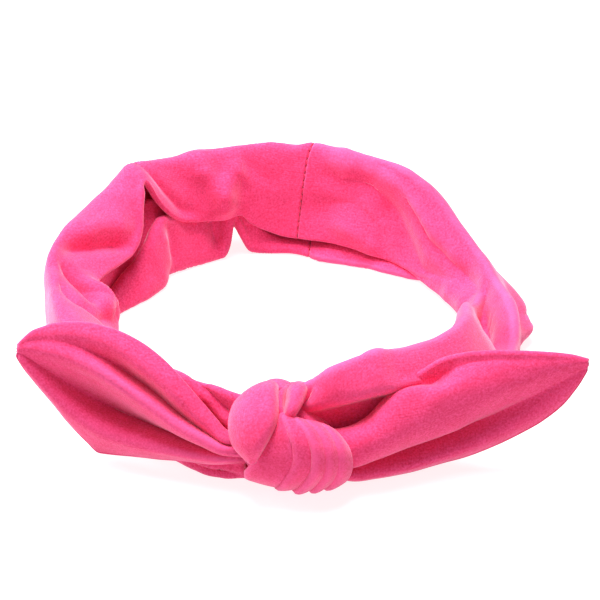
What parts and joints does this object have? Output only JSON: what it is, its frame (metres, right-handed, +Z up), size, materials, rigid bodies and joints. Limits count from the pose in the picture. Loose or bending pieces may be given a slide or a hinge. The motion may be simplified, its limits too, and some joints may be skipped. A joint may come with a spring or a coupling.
{
  "type": "knotted fabric headband",
  "caption": "Stretch-knit headband: a folded two-layer tube in a ring, sewn at the back and knotted at the front, with two pointed bow ears; keeps hair off the face.",
  "frame": {"origin": "centre of the footprint, on the flat surface the headband lies on", "axes": "+Z up through the head opening; -Y towards the knot at the front; +X to the right along the line of the two ears"},
  "size_m": [0.1843, 0.1787, 0.0492],
  "materials": {
    "pink_knit": "matte, softly brushed stretch knit with a peach-skin nap",
    "pink_thread": "matte polyester sewing thread"
  },
  "bodies": {
    "band": {"band_left_outer_ply": "pink_knit", "band_left_inner_ply": "pink_knit", "band_left_edge_thread": "pink_thread", "band_right_outer_ply": "pink_knit", "band_right_inner_ply": "pink_knit", "band_right_edge_thread": "pink_thread", "back_seam_thread": "pink_thread", "knot_core": "pink_knit", "knot_right_wrap": "pink_knit", "knot_left_turn": "pink_knit", "knot_back_turn": "pink_knit", "knot_top_roll": "pink_knit"},
    "left_ear": {"left_ear_front_ply": "pink_knit", "left_ear_back_ply": "pink_knit", "left_ear_edge_thread": "pink_thread"},
    "right_ear": {"right_ear_front_ply": "pink_knit", "right_ear_back_ply": "pink_knit", "right_ear_edge_thread": "pink_thread"}
  },
  "joints": [
    {"name": "left_ear_lift", "type": "hinge", "parent": "band", "child": "left_ear", "pos_m": [-0.02285, -0.0772, 0.016], "axis": [0.1189, 0.9911, 0.0595], "range_deg": [0, 40]},
    {"name": "right_ear_lift", "type": "hinge", "parent": "band", "child": "right_ear", "pos_m": [0.02015, -0.0772, 0.017], "axis": [0.1189, -0.9911, -0.0595], "range_deg": [0, 40]}
  ]
}
